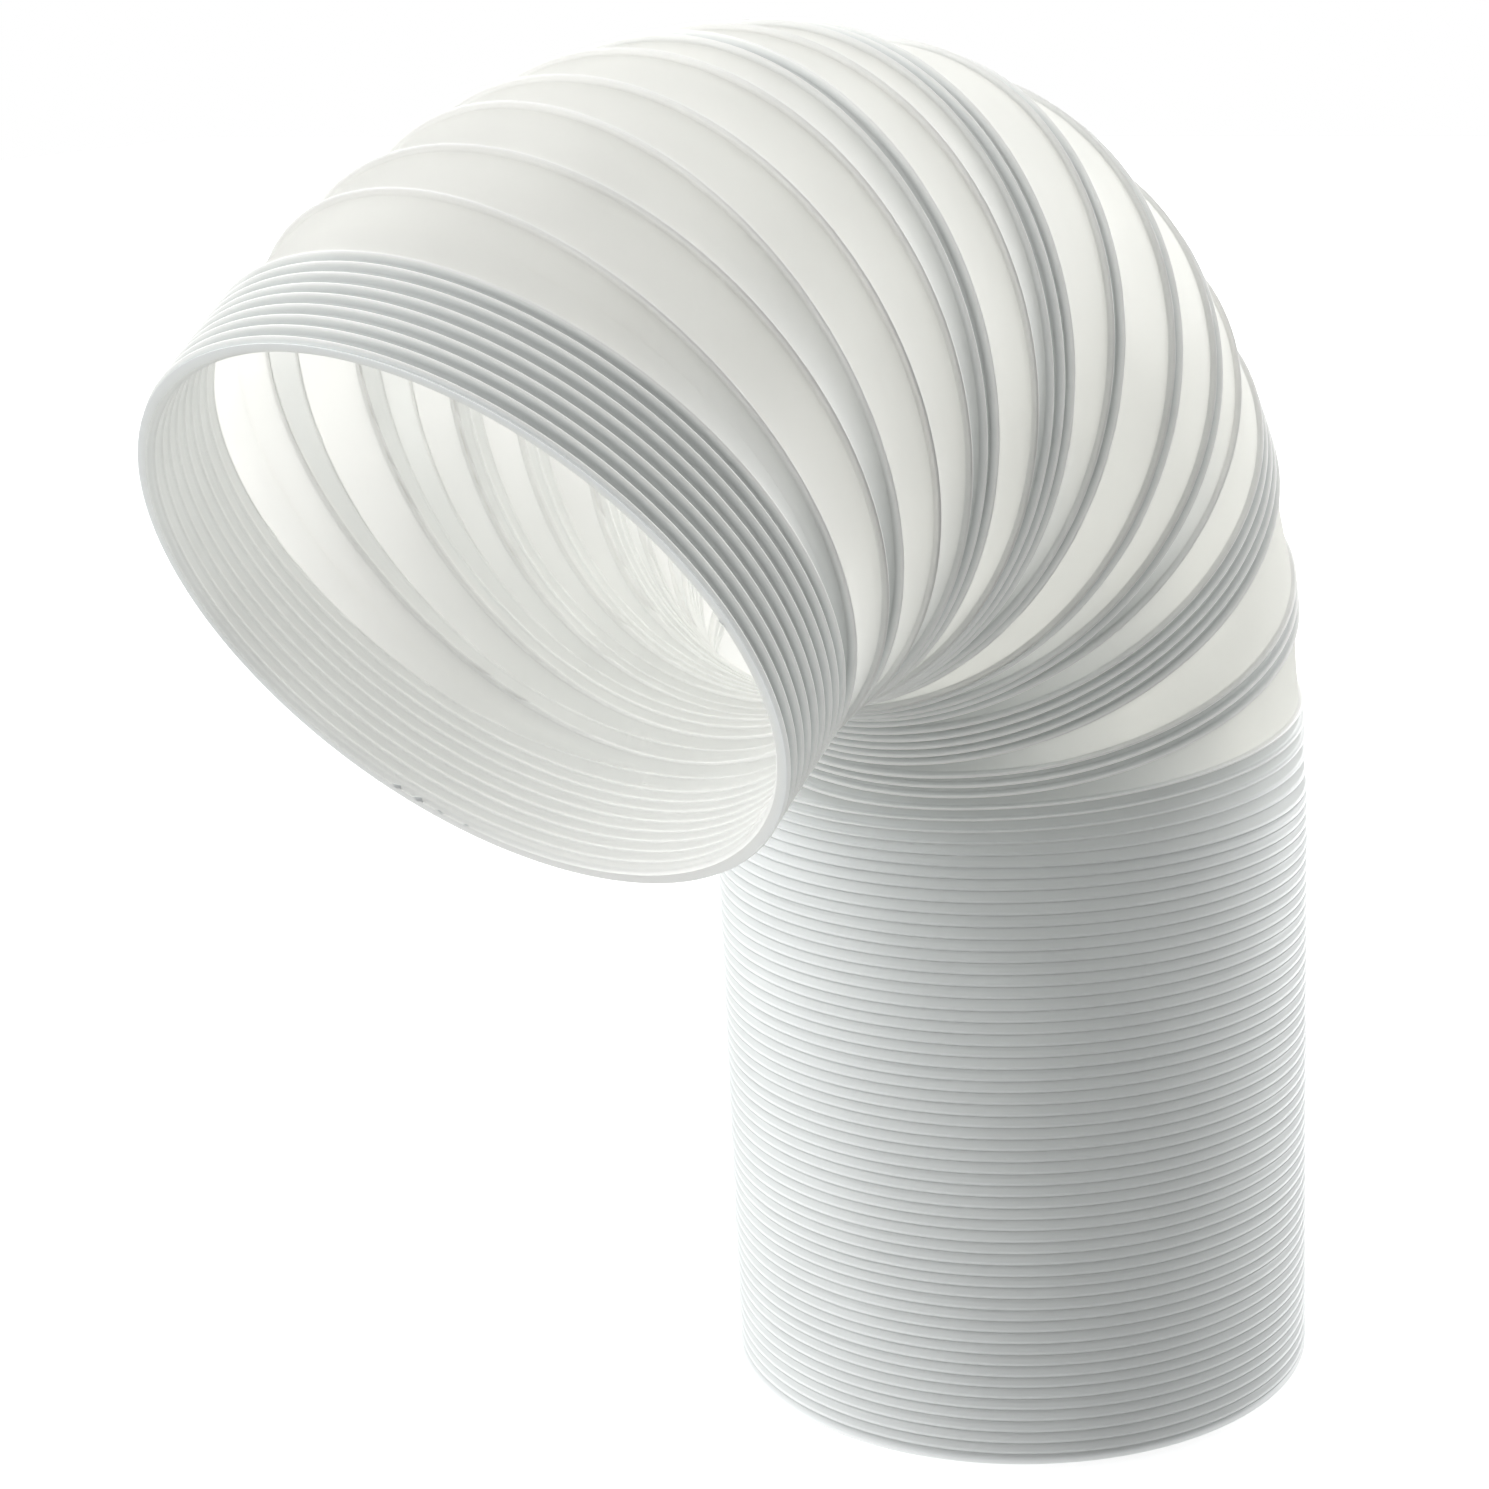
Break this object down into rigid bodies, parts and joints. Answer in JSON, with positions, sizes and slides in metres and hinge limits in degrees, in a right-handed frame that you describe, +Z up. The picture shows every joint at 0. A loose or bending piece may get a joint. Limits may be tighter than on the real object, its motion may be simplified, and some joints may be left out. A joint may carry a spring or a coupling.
{
  "type": "flexible air conditioner exhaust hose",
  "caption": "White collapsible spiral exhaust hose for a portable air conditioner, standing on its closed end and bent over so that its mouth faces down and forward.",
  "frame": {"origin": "on the floor, in the middle of the space that the hose takes up in plan", "axes": "+Z up; the bend lies near the YZ plane, the closed stack stands at +Y and the mouth faces -Y and down"},
  "size_m": [0.155, 0.33, 0.3461],
  "materials": {
    "white_polypropylene": "satin off-white polypropylene, slightly translucent where the film is open"
  },
  "bodies": {
    "root": {"hose": "white_polypropylene"}
  },
  "joints": []
}
